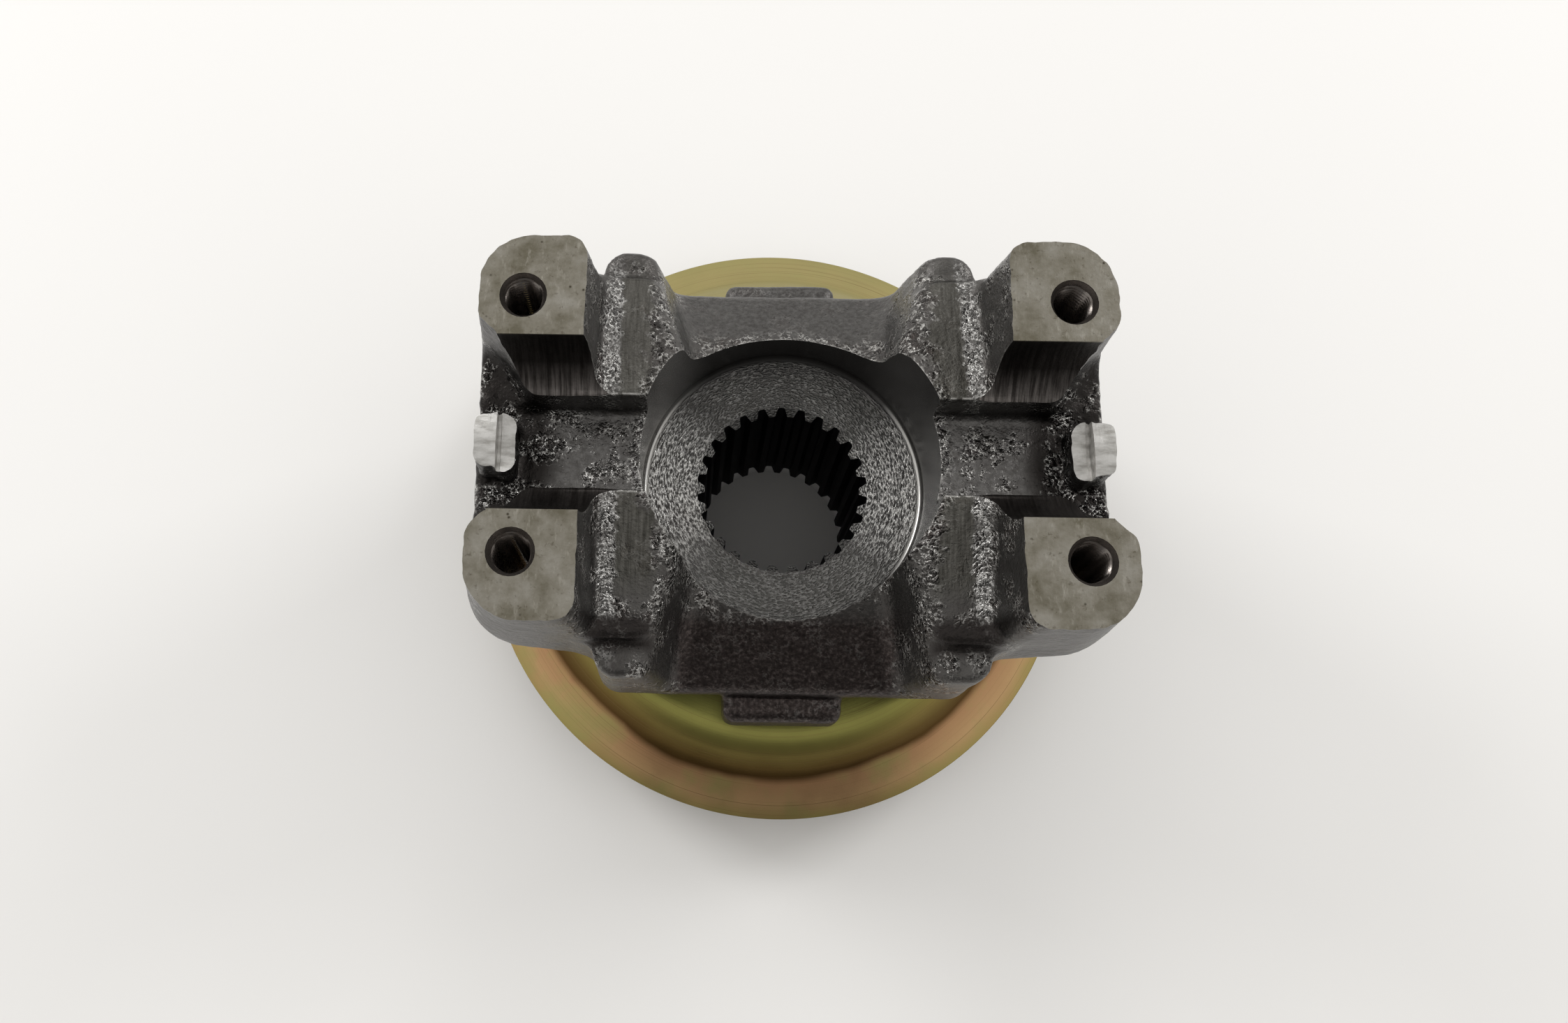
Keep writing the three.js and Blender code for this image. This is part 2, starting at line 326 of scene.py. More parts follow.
def forged_steel():
    """Dark oiled scale: smooth on the rib flats, wormy and glittering elsewhere."""
    steel = Surface("forged_steel", (0.08, 0.076, 0.072), 0.95, 0.3)
    x, y, z = steel.axes()
    across = steel.math("ABSOLUTE", x)
    along = steel.math("ABSOLUTE", y)
    wandering = steel.wander(across, 4, 4, 2)
    ragged = steel.wander(across, 1.5, 3, 0.7)
    # regions: each rib's smooth flat and the glittering strip beside it
    on_ribs = steel.zone(z, 59.5, 61)
    inside = steel.zone(across, RIB_FLAT_X + 0.4, RIB_FLAT_X - 0.3)
    flat = steel.both(steel.zone(wandering, 21.5, 23), inside, on_ribs, steel.zone(y, -24, -20))
    strip = steel.both(steel.zone(ragged, 27, 27.5), steel.zone(ragged, 30, 29.5), on_ribs)
    # the webs between the ribs, the arms' hollowed ends and outer sides, and the channel
    webs = steel.both(steel.zone(along, 22, 25), steel.zone(across, 19, 17))
    front_web = steel.both(webs, steel.zone(y, 1, -1))
    from_hollow = steel.hypot(steel.math("SUBTRACT", across, HOLLOW_X * MM), y)
    ends = steel.zone(from_hollow, 24, 20.6)
    outer = steel.both(steel.zone(along, 27.5, 29), steel.zone(across, 33, 35))
    channel = steel.both(steel.zone(along, CHANNEL_HALF_WIDTH + 0.5, CHANNEL_HALF_WIDTH - 0.1),
                         steel.outside(ends))
    # the dark band at the front ribs' ends, a stain with painted shade where they step down to the
    # feet, the ribs' inner shoulders and the rim of the nut seat
    from_stain_and_shade = steel.math("ABSOLUTE", steel.math("ADD", y, 28.6 * MM))
    stain_and_shade = steel.both(steel.zone(from_stain_and_shade, 3.2, 1.6), steel.zone(across, 20, 22),
                        steel.zone(across, 32, 31))
    shoulder = steel.both(on_ribs, steel.zone(wandering, 23, 21.5), steel.outside(webs),
                          steel.zone(along, 12, 15))
    rim = steel.both(steel.zone(steel.radius(), 26.4, 24.8), steel.zone(y, -12, -6))
    # how wormy the scale is
    clear = steel.outside(stain_and_shade)
    calm = steel.either(flat, webs, stain_and_shade, steel.both(ends, steel.zone(z, 63, 66)), outer)
    patches = steel.both(steel.spread(steel.noise(5, 4, 0.65), 0.49, 0.58),
                         steel.spread(calm, 0, 1, 1, 0.12))
    broken_edges = steel.both(steel.either(shoulder, rim), clear,
                              steel.spread(steel.noise(2.5, 3), 0.38, 0.52))
    patches = steel.either(patches, broken_edges)
    strip = steel.both(strip, clear, steel.spread(steel.noise(3.5, 3), 0.36, 0.56, 0.3, 1.0))
    wormy = steel.either(strip, patches)
    # colour
    clouds = steel.noise(9, 5)
    colour = steel.colours(clouds, [(0.3, (0.058, 0.053, 0.050)), (0.7, (0.100, 0.096, 0.091))])
    rust = steel.spread(steel.noise(5, 5, 0.65), 0.54, 0.72, 0.0, 0.7)
    colour = steel.mix(rust, colour, (0.055, 0.040, 0.034))
    streaks = steel.noise(0.5, 3, 0.6, stretch=(1, 14, 4))
    brushed = steel.colours(streaks, [(0.35, (0.046, 0.044, 0.037)), (0.65, (0.110, 0.106, 0.094))])
    brushed = steel.mix(steel.zone(y, 8, 14, 0.0, 0.3), brushed, (0.045, 0.042, 0.037))
    colour = steel.mix(steel.both(flat, 0.8), colour, brushed)
    mottled = steel.colours(steel.noise(1.1, 4, 0.7),
                            [(0.35, (0.07, 0.066, 0.063)), (0.65, (0.17, 0.165, 0.16))])
    colour = steel.mix(steel.both(channel, 0.6), colour, mottled)
    grain = steel.colours(steel.noise(0.6, 2.5, 0.6), [
        (0.34, (0.018, 0.013, 0.012)), (0.52, (0.038, 0.029, 0.027)), (0.70, (0.090, 0.074, 0.070))])
    coarse = steel.colours(steel.noise(0.8, 4, 0.7), [(0.36, (0.050, 0.047, 0.045)),
                                                      (0.66, (0.120, 0.117, 0.113))])
    colour = steel.mix(steel.both(webs, 0.7), colour, coarse)
    # painted shade: the front web's grain is coloured darker than the back web's
    colour = steel.mix(steel.both(front_web, 0.9), colour, grain)
    # painted shade: the arms' hollowed ends are coloured near black
    colour = steel.mix(steel.both(ends, 0.85), colour, (0.014, 0.012, 0.011))
    # painted shade and a dark stain: the band where the front ribs step down to the feet is coloured
    # near black
    colour = steel.mix(steel.both(stain_and_shade, 0.8), colour, (0.020, 0.016, 0.015))
    # painted glints: bright colour on the crests of the worms and along the strips, painted shade in
    # the hollows beside them, and a painted highlight that lifts the strips' base colour
    worms = steel.math("ABSOLUTE", steel.math("SUBTRACT", steel.noise(0.9, 2, 0.5), 0.5))
    broken = steel.spread(steel.noise(1.2, 2), 0.42, 0.52)
    crest = steel.both(steel.spread(worms, 0.02, 0.07, 1.0, 0.0), broken, patches)
    strip_glints = steel.both(steel.spread(worms, 0.02, 0.08, 1.0, 0.0), strip)
    glint_shade = steel.both(steel.spread(worms, 0.08, 0.16), steel.math("SUBTRACT", wormy, strip), 0.6)
    colour = steel.mix(glint_shade, colour, (0.020, 0.018, 0.017))
    colour = steel.mix(steel.both(crest, 0.8), colour, (0.48, 0.47, 0.45))
    colour = steel.mix(steel.both(strip, 0.7), colour, (0.13, 0.127, 0.122))
    colour = steel.mix(steel.both(strip_glints, 0.8), colour, (0.56, 0.55, 0.53))
    specks = steel.both(steel.pits(1.3, 0.06, 0.14), steel.spread(flat, 0, 1, 0.8, 0.1))
    colour = steel.mix(specks, colour, (0.015, 0.013, 0.012))
    # rubbed edges: wear, with a painted highlight along the outward sharp edges
    wear_and_highlight = steel.add("ShaderNodeAttribute", attribute_name="wear_and_highlight").outputs["Fac"]
    wear_and_highlight = steel.both(wear_and_highlight, steel.spread(steel.noise(0.9, 3), 0.40, 0.62))
    colour = steel.mix(wear_and_highlight, colour, (0.42, 0.41, 0.39))
    steel.feed(steel.shader.inputs["Base Color"], colour)
    steel.feed(steel.shader.inputs["Roughness"], steel.spread(wormy, 0, 1, 0.36, 0.20))
    # relief
    steel.bump(steel.noise(2.6, 3, 0.5), 0.20)
    steel.bump(steel.noise(0.7, 3, 0.65), 0.18)
    steel.bump(steel.both(worms, wormy), 1.4)
    return steel.material


def milled_steel():
    """Face-milled pads stained by oil, the bored saddles darkened by painted shade, and the brighter
    tabs.
    """
    steel = Surface("milled_steel", (0.2, 0.19, 0.16), 0.95, 0.4)
    _, y, z = steel.axes()
    stain = steel.noise(5, 5, 0.65)
    colour = steel.colours(stain, [(0.32, (0.125, 0.113, 0.083)), (0.5, (0.205, 0.190, 0.155)),
                                   (0.68, (0.285, 0.270, 0.235))])
    colour = steel.mix(steel.pits(2.6, 0.03, 0.11), colour, (0.05, 0.042, 0.03))
    scuffs = steel.spread(steel.noise(1.3, 4, 0.75), 0.58, 0.68, 0.0, 0.6)
    colour = steel.mix(scuffs, colour, (0.075, 0.062, 0.042))
    bright = steel.spread(steel.noise(0.9, 3, 0.7, stretch=(1, 3, 1)), 0.58, 0.74, 0.0, 0.4)
    colour = steel.mix(bright, colour, (0.42, 0.40, 0.35))
    # the saddles: painted shade, black at their upper edge and on the front saddles, and streaked
    # along the cut lower down
    streaks = steel.noise(0.5, 3, 0.65, stretch=(1, 16, 16))
    bored = steel.colours(streaks, [(0.38, (0.070, 0.062, 0.057)), (0.64, (0.280, 0.255, 0.240))])
    shade = steel.either(steel.zone(z, 67.3, 71, 0.0, 0.9), steel.zone(y, -5, -7, 0.0, 0.85))
    bored = steel.mix(shade, bored, (0.012, 0.010, 0.009))
    below_pads = steel.zone(z, HEIGHT - 0.1, HEIGHT - 0.5)
    colour = steel.mix(below_pads, colour, bored)
    # the tabs
    on_tabs = steel.zone(steel.math("ABSOLUTE", y), 6.5, 6.0)
    smears = steel.colours(steel.noise(1.2, 4, 0.6, stretch=(3, 1, 1)),
                           [(0.34, (0.31, 0.30, 0.28)), (0.60, (0.54, 0.53, 0.51))])
    colour = steel.mix(on_tabs, colour, smears)
    steel.feed(steel.shader.inputs["Base Color"], colour)
    steel.feed(steel.shader.inputs["Roughness"], steel.spread(stain, 0.3, 0.7, 0.46, 0.32))
    steel.bump(steel.noise(0.25, 3, 0.6, stretch=(1, 16, 16)), 0.02)
    steel.bump(steel.noise(0.8, 3, 0.5), 0.03)
    steel.bump(steel.noise(1.5, 4, 0.75), 0.05)
    return steel.material


def turned_steel():
    """Nut seat, its wall and the hub, with fine rings and a painted highlight on them to the left and
    right.
    """
    steel = Surface("turned_steel", (0.14, 0.138, 0.132), 0.95, 0.26)
    x, y, _ = steel.axes()
    radius = steel.radius()
    marks = steel.noise(0.28, 2, 0.5, stretch=(1, 2.6, 1), where=steel.rounds())
    marks = steel.spread(marks, 0.38, 0.62)
    # painted highlight: the rings' light marks are brightened, and the dark ones darkened, to the left
    # and right
    painted_highlight_sides = steel.spread(steel.math("DIVIDE", steel.math("ABSOLUTE", x), radius), 0.75, 0.98)
    on_seat = steel.zone(radius, SEAT_RADIUS - 0.7, SEAT_RADIUS - 1.1)
    clouds = steel.noise(5, 4)
    dark = steel.colours(clouds, [(0.3, (0.062, 0.060, 0.057)), (0.7, (0.100, 0.097, 0.093))])
    dark = steel.mix(painted_highlight_sides, dark, (0.045, 0.043, 0.041))
    light = steel.colours(clouds, [(0.3, (0.140, 0.136, 0.130)), (0.7, (0.200, 0.196, 0.188))])
    light = steel.mix(steel.both(painted_highlight_sides, 0.9), light, (0.60, 0.59, 0.57))
    colour = steel.mix(marks, dark, light)
    # smooth wall above the seat: painted highlight at the left, painted shade at the right, black
    # painted shade at the back, and a painted glint along the corner
    wall = steel.colours(clouds, [(0.3, (0.110, 0.106, 0.101)), (0.7, (0.160, 0.156, 0.150))])
    wall = steel.mix(steel.zone(x, -12, -21, 0.0, 0.9), wall, (0.30, 0.29, 0.275))
    wall = steel.mix(steel.zone(x, 8, 20, 0.0, 0.6), wall, (0.040, 0.038, 0.036))
    wall = steel.mix(steel.zone(y, 10, 20, 0.0, 0.9), wall, (0.014, 0.013, 0.012))
    # painted glint along the seat's corner fillet, to the left and right
    corner = steel.both(steel.zone(radius, SEAT_RADIUS - 0.1, SEAT_RADIUS - 0.4), painted_highlight_sides)
    wall = steel.mix(corner, wall, (0.50, 0.49, 0.47))
    steel.feed(steel.shader.inputs["Base Color"], steel.mix(on_seat, wall, colour))
    # painted shade: the back of the wall is made barely reflective, so that it renders black
    shaded_back = steel.both(steel.zone(y, 10, 18), steel.outside(on_seat))
    steel.feed(steel.shader.inputs["Metallic"], steel.spread(shaded_back, 0, 1, 0.95, 0.2))
    steel.feed(steel.shader.inputs["Specular IOR Level"], steel.spread(shaded_back, 0, 1, 0.5, 0.1))
    steel.bump(steel.both(marks, on_seat), 0.10)
    steel.bump(steel.both(steel.noise(0.6, 3, 0.6), on_seat), 0.05)
    return steel.material


def bored_steel():
    """The broached bore, coloured almost black as painted shade, and the brighter tapped holes."""
    steel = Surface("bored_steel", (0.05, 0.05, 0.05), 0.95, 0.35)
    in_holes = steel.zone(steel.radius(), 16, 20)
    # painted shade: the bore is coloured almost black and made barely reflective
    colour = steel.colours(in_holes, [(0.0, (0.005, 0.005, 0.006)), (1.0, (0.20, 0.18, 0.165))])
    steel.feed(steel.shader.inputs["Base Color"], colour)
    steel.feed(steel.shader.inputs["Specular IOR Level"], steel.spread(in_holes, 0, 1, 0.1, 0.5))
    steel.feed(steel.shader.inputs["Roughness"], steel.spread(in_holes, 0, 1, 0.65, 0.24))
    steel.bump(steel.noise(0.3, 3, 0.5, stretch=(1, 1, 6)), 0.02)
    return steel.material


def dichromate_zinc():
    """Yellow dichromate film: olive in the dish, brown on the step and darkened there as painted
    shade, and copper on the flange.
    """
    zinc = Surface("dichromate_zinc", (0.5, 0.4, 0.2), 0.95, 0.3)
    _, y, _ = zinc.axes()
    place = zinc.zone(zinc.wander(zinc.radius(), 22, 3, 0.5), 26, 54)
    # the dark band on the step is partly painted shade
    colour = zinc.colours(place, [
        (0.0, (0.27, 0.27, 0.080)), (0.44, (0.25, 0.24, 0.067)), (0.53, (0.24, 0.225, 0.062)),
        (0.62, (0.22, 0.17, 0.050)), (0.69, (0.125, 0.080, 0.022)), (0.74, (0.085, 0.045, 0.013)),
        (0.785, (0.42, 0.24, 0.12)), (0.90, (0.50, 0.32, 0.155)), (1.0, (0.33, 0.27, 0.09))])
    flange = zinc.spread(place, 0.75, 0.79)
    tint = zinc.noise(9, 4, 0.6)
    copper = zinc.both(zinc.spread(tint, 0.48, 0.75, 0.0, 0.5), flange)
    colour = zinc.mix(copper, colour, (0.42, 0.24, 0.12))
    greenish = zinc.both(zinc.spread(zinc.noise(11, 4, 0.6), 0.48, 0.68, 0.0, 0.7), flange)
    colour = zinc.mix(greenish, colour, (0.34, 0.31, 0.11))
    colour = zinc.mix(zinc.zone(y, 0, 25, 0.0, 0.85), colour, (0.36, 0.32, 0.13))
    scratches = zinc.noise(0.16, 2, 0.6, stretch=(1, 240, 1), where=zinc.rounds())
    colour = zinc.mix(zinc.spread(scratches, 0.60, 0.72, 0.0, 0.7), colour, (0.16, 0.10, 0.04))
    zinc.feed(zinc.shader.inputs["Base Color"], colour)
    zinc.feed(zinc.shader.inputs["Roughness"], zinc.spread(tint, 0.3, 0.7, 0.40, 0.28))
    zinc.bump(scratches, 0.01)
    zinc.bump(zinc.noise(0.35, 2), 0.008)
    return zinc.material


def pale_table():
    """Matt pale board, with painted shade where the bore stands over it."""
    pale, shaded_under_bore = (0.83, 0.818, 0.80), (0.42, 0.41, 0.40)
    table = Surface("pale_table", pale, 0.0, 0.6)
    # painted shade on the board inside the bore's footprint
    stain = table.zone(table.radius(), 15, 13.5)
    table.feed(table.shader.inputs["Base Color"], table.mix(stain, pale, shaded_under_bore))
    return table.material


yoke_surfaces = [forged_steel(), milled_steel(), turned_steel(), bored_steel()]
shield_surfaces = [dichromate_zinc()]
floor_surfaces = [pale_table()]


# ---- mesh helpers --------------------------------------------------------------------------------
def new_object(name, points, faces, slot=FORGED, surfaces=yoke_surfaces, lift=HEIGHT):
    """A mesh of points in millimetres, all in one of its surfaces and raised by lift."""
    mesh = bpy.data.meshes.new(name)
    places = (np.asarray(points, float) + [0, 0, lift]) * MM
    mesh.from_pydata(places.tolist(), [], [tuple(face) for face in faces])
    mesh.polygons.foreach_set("material_index", [slot] * len(mesh.polygons))
    for surface in surfaces:
        mesh.materials.append(surface)
    piece = bpy.data.objects.new(name, mesh)
    bpy.context.scene.collection.objects.link(piece)
    return piece


def rings(name, loops, slot=FORGED, closed=False, surfaces=yoke_surfaces, lift=HEIGHT):
    """A skin over loops of points, one loop after another. Capped, or closed on itself."""
    count = len(loops[0])
    points = np.concatenate(loops)
    faces = []
    last = len(loops) if closed else len(loops) - 1
    for row in range(last):
        here, there = row * count, (row + 1) % len(loops) * count
        for i in range(count):
            j = (i + 1) % count
            faces.append((here + i, here + j, there + j, there + i))
    if not closed:
        faces.append(tuple(reversed(range(count))))
        faces.append(tuple(range(len(points) - count, len(points))))
    return new_object(name, points, faces, slot, surfaces, lift)


def circle(radius, z, segments):
    turn = np.linspace(0, 2 * math.pi, segments, endpoint=False)
    return np.stack([radius * np.cos(turn), radius * np.sin(turn), np.full(segments, z)], axis=1)


def circle_across(x, radius):
    """A circle round the caps' axis, which runs along X at the height of the pads."""
    segments = 256
    turn = np.linspace(0, 2 * math.pi, segments, endpoint=False)
    return np.stack([np.full(segments, x), radius * np.cos(turn), radius * np.sin(turn)], axis=1)


def turned(name, profile, slot=FORGED, closed=False, segments=256, **how):
    """A profile of (radius, z) from the bottom up, turned round the bore's axis."""
    return rings(name, [circle(r, z, segments) for r, z in profile], slot, closed, **how)


def cuboid(name, low, high, slot):
    """A box between two corners."""
    loops = [[(low[0], low[1], z), (high[0], low[1], z), (high[0], high[1], z), (low[0], high[1], z)]
             for z in (low[2], high[2])]
    return rings(name, [np.array(loop, float) for loop in loops], slot)


def machine(piece, tool, operation="DIFFERENCE"):
    """Cuts a piece with a tool, or joins them, and throws the tool away."""
    change = piece.modifiers.new("machine", "BOOLEAN")
    change.solver = "MANIFOLD"
    change.operation = operation
    change.object = tool
    result = bpy.data.meshes.new_from_object(
        piece.evaluated_get(bpy.context.evaluated_depsgraph_get()))
    piece.modifiers.clear()
    old, tool_mesh = piece.data, tool.data
    piece.data = result
    bpy.data.objects.remove(tool)
    bpy.data.meshes.remove(tool_mesh)
    bpy.data.meshes.remove(old)


# ---- yoke ----------------------------------------------------------------------------------------
def forging_blank():
    """The forging before it is machined, with stock left on its pads."""
    xs = np.arange(0, 53, GRID)
    ys = np.arange(0, 43, GRID)
    zs = np.arange(-55, 5, GRID)
    x, y, z = np.meshgrid(xs, ys, zs, indexing="ij")
    stock = 2.0                                # left on the pads for the face mill
    quarter = np.maximum(forging_field(x, y, z), z - stock)
    half = np.concatenate([quarter[:0:-1], quarter], axis=0)
    whole = np.concatenate([half[:, :0:-1], half], axis=1)
    grid = openvdb.FloatGrid()
    grid.copyFromArray(whole.astype(np.float32))
    points, quads = grid.convertToQuads(isovalue=0.0)
    points = points * GRID + np.array([-xs[-1], -ys[-1], zs[0]])
    blank = new_object("yoke_body", points, quads, FORGED)
    roughen(blank)
    return blank


def read(items, name, width, kind=float):
    """One property of all of a mesh's points, edges, loops or faces, as rows of numbers."""
    values = np.empty(len(items) * width, kind)
    items.foreach_get(name, values)
    return values.reshape(-1, width) if width > 1 else values


def roughen(piece):
    """Moves the forging's skin by the waviness and pits that hot scale leaves."""
    mesh = piece.data
    places = read(mesh.vertices, "co", 3)
    normals = read(mesh.vertices, "normal", 3)
    ends = np.clip((np.abs(places[:, 0]) / MM - 40) / 3, 0, 1)
    middle = np.clip((16 - np.abs(places[:, 1]) / MM) / 3, 0, 1)
    rim = np.clip(1 - np.abs(places[:, 2] / MM - HEIGHT) / 0.8, 0, 1)
    coarse = 1 + 2.5 * ends * middle + 2.5 * rim   # roughest in the hollowed ends and at pad edges
    rise = np.empty(len(places))
    for i, place in enumerate(places / MM):
        wave = noise.noise(Vector(place * 0.12))
        grain = noise.noise(Vector(place * 0.7))
        rise[i] = 0.16 * wave + 0.07 * grain * coarse[i]
    places += normals * rise[:, None] * MM
    mesh.vertices.foreach_set("co", places.ravel())
    mesh.update()


def saddle_tool():
    """A bar the size of the bearing caps between the shoulders, with a thin relief at each end."""
    relief, depth, ramp = 0.45, 0.3, 0.1
    sections = [(SHOULDER_X, CAP_RADIUS + depth), (SHOULDER_X - relief, CAP_RADIUS + depth),
                (SHOULDER_X - relief - ramp, CAP_RADIUS)]
    profile = [(-x, radius) for x, radius in sections] + sections[::-1]
    return rings("saddle", [circle_across(x, radius) for x, radius in profile], MILLED)


def tab_mill(side):
    """The cutter over one tab, which leaves its top slightly crowned."""
    half_width, crown_radius, above = 7, 13, 5
    ys = np.linspace(-half_width, half_width, 29)
    floor_line = [(y, TAB_TOP - y * y / (2 * crown_radius)) for y in ys]
    outline = floor_line + [(half_width, above), (-half_width, above)]
    low, high = sorted((side * SHOULDER_X, side * 55))
    return rings("tab_mill", [np.array([(x, y, z) for y, z in outline]) for x in (low, high)], MILLED)


def spline_tool():
    """The broach: trapezium teeth with eased corners."""
    steps = 12
    root, flank = 0.26, 0.44                   # shares of half a tooth
    phase = (np.arange(SPLINE_TEETH * steps) % steps) / steps
    across = np.abs(phase - 0.5) * 2
    depth = np.clip((across - root) / flank, 0, 1)
    depth = depth * depth * (3 - 2 * depth)
    radius = SPLINE_MAJOR - (SPLINE_MAJOR - SPLINE_MINOR) * depth
    turn = np.arange(SPLINE_TEETH * steps) * 2 * math.pi / (SPLINE_TEETH * steps)
    low, high = -HEIGHT - 1, SEAT_Z + 1
    loops = [np.stack([radius * np.cos(turn), radius * np.sin(turn), np.full(len(turn), z)], axis=1)
             for z in (low, high)]
    return rings("broach", loops, BORED)


def counterbore():
    """The cutter for the nut seat, whose corner leaves a small fillet."""
    fillet = 0.9
    arc = np.linspace(-math.pi / 2, 0, 7)
    corner = [(SEAT_RADIUS - fillet + fillet * math.cos(a), SEAT_Z + fillet + fillet * math.sin(a))
              for a in arc]
    return turned("counterbore", [(1.0, SEAT_Z)] + corner + [(SEAT_RADIUS, 5), (1.0, 5)], TURNED)


def thread_tool(x, y):
    """A tap: a bar whose skin rises and falls along a helix, with a flare at its mouth."""
    around, per_pitch, depth = 28, 6, 30.0
    above, crest, flare = 0.6, 1.25, 0.55      # a crest over 1 has a flat top
    rows = int(depth / THREAD_PITCH * per_pitch)
    turn = np.arange(around) / around
    loops = []
    for row in range(rows + 1):
        z = -depth + row * THREAD_PITCH / per_pitch + above
        ridge = np.abs(((row / per_pitch - turn) % 1.0) - 0.5) * 2
        radius = THREAD_MINOR + (THREAD_MAJOR - THREAD_MINOR) * np.clip(crest * ridge, 0, 1)
        radius = np.maximum(radius, COUNTERSINK + flare * min(z, 0.0))
        loops.append(np.stack([x + radius * np.cos(2 * math.pi * turn),
                               y + radius * np.sin(2 * math.pi * turn), np.full(around, z)], axis=1))
    return rings("tap", loops, BORED)


def mark_wear_and_highlight_edges(piece):
    """Writes 1 at the points of outward sharp edges, where handling wears the scale off and a
    highlight is painted, else 0.
    """
    mesh = piece.data
    sharp = math.radians(38)
    normals = read(mesh.polygons, "normal", 3)
    centres = read(mesh.polygons, "center", 3)
    loop_edges = read(mesh.loops, "edge_index", 1, int)
    loop_faces = np.repeat(np.arange(len(mesh.polygons)), read(mesh.polygons, "loop_total", 1, int))
    order = np.argsort(loop_edges, kind="stable")
    pairs = loop_faces[order].reshape(-1, 2)
    ends = read(mesh.edges, "vertices", 2, int)
    one, two = pairs[:, 0], pairs[:, 1]
    bend = np.einsum("ij,ij->i", normals[one], normals[two])
    outward = np.einsum("ij,ij->i", centres[two] - centres[one], normals[one]) < 0
    wear_and_highlight = np.zeros(len(mesh.vertices))
    wear_and_highlight[ends[outward & (bend < math.cos(sharp))].ravel()] = 1.0
    mesh.attributes.new("wear_and_highlight", "FLOAT", "POINT").data.foreach_set("value", wear_and_highlight)


def hub_bar():
    """The turned lower hub, from its end face to inside the forging."""
    chamfer, fillet = 1.0, 0.6
    step = HUB_STEP - HEIGHT
    inside = BODY_FOOT + 4                     # overlap that joins it to the forging
    profile = [(1.0, -HEIGHT), (HUB_RADIUS - chamfer, -HEIGHT), (HUB_RADIUS, chamfer - HEIGHT),
               (HUB_RADIUS, step - fillet), (HUB_RADIUS + 0.4, step),
               (HUB_SHOULDER_RADIUS - fillet, step + fillet), (HUB_SHOULDER_RADIUS, step + 1.4),
               (HUB_SHOULDER_RADIUS, inside), (1.0, inside)]
    return turned("hub", profile, TURNED)


def yoke_body():
    """The forging joined to its hub, then cut by each tool in turn."""
    body = forging_blank()
    machine(body, hub_bar(), "UNION")
    machine(body, cuboid("face_mill", (-60, -45, 0), (60, 45, 10), MILLED))
    machine(body, saddle_tool())
    for side in (-1, 1):
        machine(body, tab_mill(side))
    machine(body, counterbore())
    machine(body, spline_tool())
    lead_foot, lead_mouth = SEAT_Z - 1.4, SEAT_Z + 0.4
    lead = [(1.0, lead_foot), (SPLINE_MINOR - 0.5, lead_foot), (SPLINE_MAJOR + 0.4, lead_mouth),
            (1.0, lead_mouth)]
    machine(body, turned("lead", lead, TURNED))
    for side_x in (-1, 1):
        for side_y in (-1, 1):
            machine(body, thread_tool(side_x * HOLE_X, side_y * HOLE_Y))
    mark_wear_and_highlight_edges(body)
    return body


# ---- dust shield ---------------------------------------------------------------------------------
def eased(points, radii, steps=8):
    """Rounds each inner corner of a line of points with an arc of its own radius."""
    path = [np.array(points[0], float)]
    for before, corner, after, radius in zip(points, points[1:], points[2:], radii):
        corner = np.array(corner, float)
        one = np.array(before, float) - corner
        two = np.array(after, float) - corner
        one, two = one / np.linalg.norm(one), two / np.linalg.norm(two)
        half = math.acos(float(np.clip(one @ two, -1, 1))) / 2
        reach = radius / math.tan(half)
        start, end = corner + one * reach, corner + two * reach
        for step in range(steps + 1):
            t = step / steps
            path.append((1 - t) ** 2 * start + 2 * t * (1 - t) * corner + t * t * end)
    path.append(np.array(points[-1], float))
    return path


def dust_shield():
    """One pressed sheet: a collar round the hub, a flat dish, a step down and a sloping flange."""
    line = [(COLLAR_RADIUS, COLLAR_FOOT), (COLLAR_RADIUS, DISH_HEIGHT), (DISH_RADIUS, DISH_HEIGHT),
            (STEP_RADIUS, STEP_HEIGHT), (SHIELD_RADIUS, RIM_HEIGHT)]
    upper = eased(line, [1.6, 7.0, 8.0])
    under = []
    for i, point in enumerate(upper):
        ahead = upper[min(i + 1, len(upper) - 1)]
        behind = upper[max(i - 1, 0)]
        along = (ahead - behind) / np.linalg.norm(ahead - behind)
        under.append(point + SHEET * np.array([along[1], -along[0]]))
    profile = upper + under[::-1]
    return turned("shield_sheet", profile, closed=True, segments=360, surfaces=shield_surfaces, lift=0)


# ---- pieces on the frame -------------------------------------------------------------------------
def finish_piece(piece, node, angle):
    """Smooths the faces that meet at less than the angle, and puts the piece on the frame."""
    piece.data.polygons.foreach_set("use_smooth", [True] * len(piece.data.polygons))
    piece.data.set_sharp_from_angle(angle=math.radians(angle))
    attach(piece, "root")
    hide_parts(node)


finish_piece(yoke_body(), "yoke", 32)
finish_piece(dust_shield(), "dust_shield", 40)


# ---- floor, light and camera ---------------------------------------------------------------------
def floor():
    """A table wide enough to reach past the view on all sides."""
    half = 1500
    corners = [(-half, -half, 0), (half, -half, 0), (half, half, 0), (-half, half, 0)]
    new_object("floor", corners, [(0, 1, 2, 3)], surfaces=floor_surfaces, lift=0)


def area_light(name, place, size, power):
    """A lit panel that faces the middle of the part, in metres and watts."""
    target = Vector((0, 0, 0.05))
    data = bpy.data.lights.new(name, "AREA")
    data.shape = "RECTANGLE"
    data.size, data.size_y = size
    data.energy = power
    lamp = bpy.data.objects.new(name, data)
    lamp.location = place
    lamp.rotation_euler = (target - Vector(place)).to_track_quat("-Z", "Y").to_euler()
    bpy.context.scene.collection.objects.link(lamp)


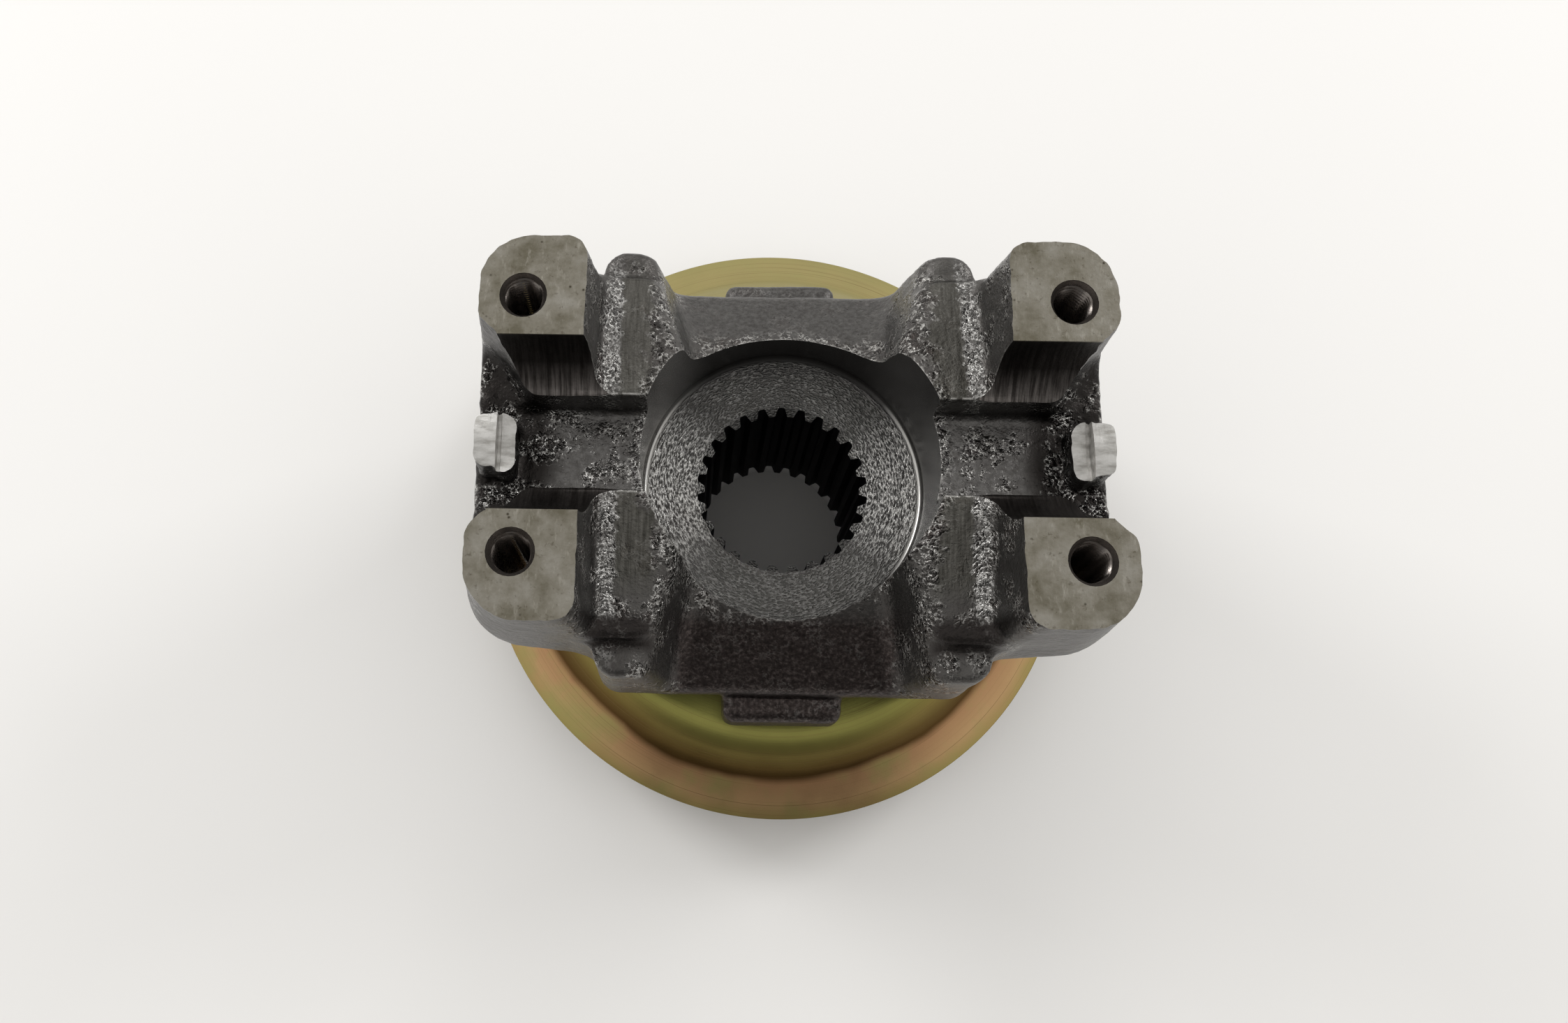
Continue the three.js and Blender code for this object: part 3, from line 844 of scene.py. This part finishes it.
def camera():
    """The photo's view: from above and a little in front, turned slightly, with a shifted lens."""
    azimuth, elevation, roll = (math.radians(a) for a in (3.65, 71.69, -2.62))
    target = Vector((-21.15, 6.10, HEIGHT)) * MM
    distance = 222.9 * MM
    back = Vector((math.sin(azimuth) * math.cos(elevation), -math.cos(azimuth) * math.cos(elevation),
                   math.sin(elevation)))
    right = Vector((math.cos(azimuth), math.sin(azimuth), 0))
    up = back.cross(right)
    turned_right = right * math.cos(roll) + up * math.sin(roll)
    turned_up = up * math.cos(roll) - right * math.sin(roll)
    data = bpy.data.cameras.new("camera")
    data.sensor_width = 36
    data.lens = 34.39
    data.shift_x, data.shift_y = 0.0813, -0.0824
    data.clip_start = 0.01
    view = bpy.data.objects.new("camera", data)
    view.matrix_world = Matrix.Translation(target + back * distance) @ Matrix(
        (turned_right, turned_up, back)).transposed().to_4x4()
    bpy.context.scene.collection.objects.link(view)
    bpy.context.scene.camera = view


def world_light():
    """A pale room, darker in front where the viewer stands."""
    world = bpy.data.worlds.new("studio")
    world.use_nodes = True
    tree = world.node_tree
    way = tree.nodes.new("ShaderNodeTexCoord")
    facing = tree.nodes.new("ShaderNodeVectorMath")
    facing.operation = "DOT_PRODUCT"
    facing.inputs[1].default_value = (0, -0.94, 0.34)
    level = tree.nodes.new("ShaderNodeMapRange")
    level.interpolation_type = "SMOOTHSTEP"
    edge, core, pale, dark = 0.70, 0.88, 0.82, 0.22
    for socket, number in zip(list(level.inputs)[1:5], (edge, core, pale, dark)):
        socket.default_value = number
    background = tree.nodes["Background"]
    background.inputs["Color"].default_value = (1, 0.99, 0.97, 1)
    tree.links.new(way.outputs["Generated"], facing.inputs[0])
    tree.links.new(facing.outputs["Value"], level.inputs[0])
    tree.links.new(level.outputs[0], background.inputs["Strength"])
    bpy.context.scene.world = world
    bpy.context.scene.view_settings.view_transform = "Standard"


floor()
area_light("left_panel", (-0.80, 0.50, 0.60), (0.36, 0.36), 3.8)
area_light("right_panel", (0.80, 0.50, 0.60), (0.36, 0.30), 3.4)
area_light("back_panel", (-0.15, 0.80, 0.70), (0.60, 0.30), 1.2)
world_light()
camera()
